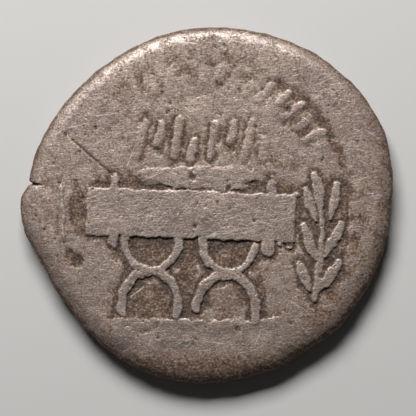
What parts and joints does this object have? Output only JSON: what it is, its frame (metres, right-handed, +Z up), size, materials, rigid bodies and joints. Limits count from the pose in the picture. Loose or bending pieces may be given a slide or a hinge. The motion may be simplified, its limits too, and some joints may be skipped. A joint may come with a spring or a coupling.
{
  "type": "denarius coin",
  "caption": "Worn ancient silver coin on an uneven flan, with a folding chair and a laurel branch in low relief, a wreath underneath and strokes in place of lettering.",
  "frame": {"origin": "on the ground under the middle of the coin's outline, with the coin lying flat and its chair side up", "axes": "+Z up out of the chair side, +Y towards the top of the design, +X to its right, where the laurel branch is"},
  "size_m": [0.0191, 0.0181, 0.0017],
  "materials": {
    "silver": "worn silver with a warm grey tone, satin on the high parts, brown grime in the recesses"
  },
  "bodies": {
    "root": {"coin": "silver"}
  },
  "joints": []
}
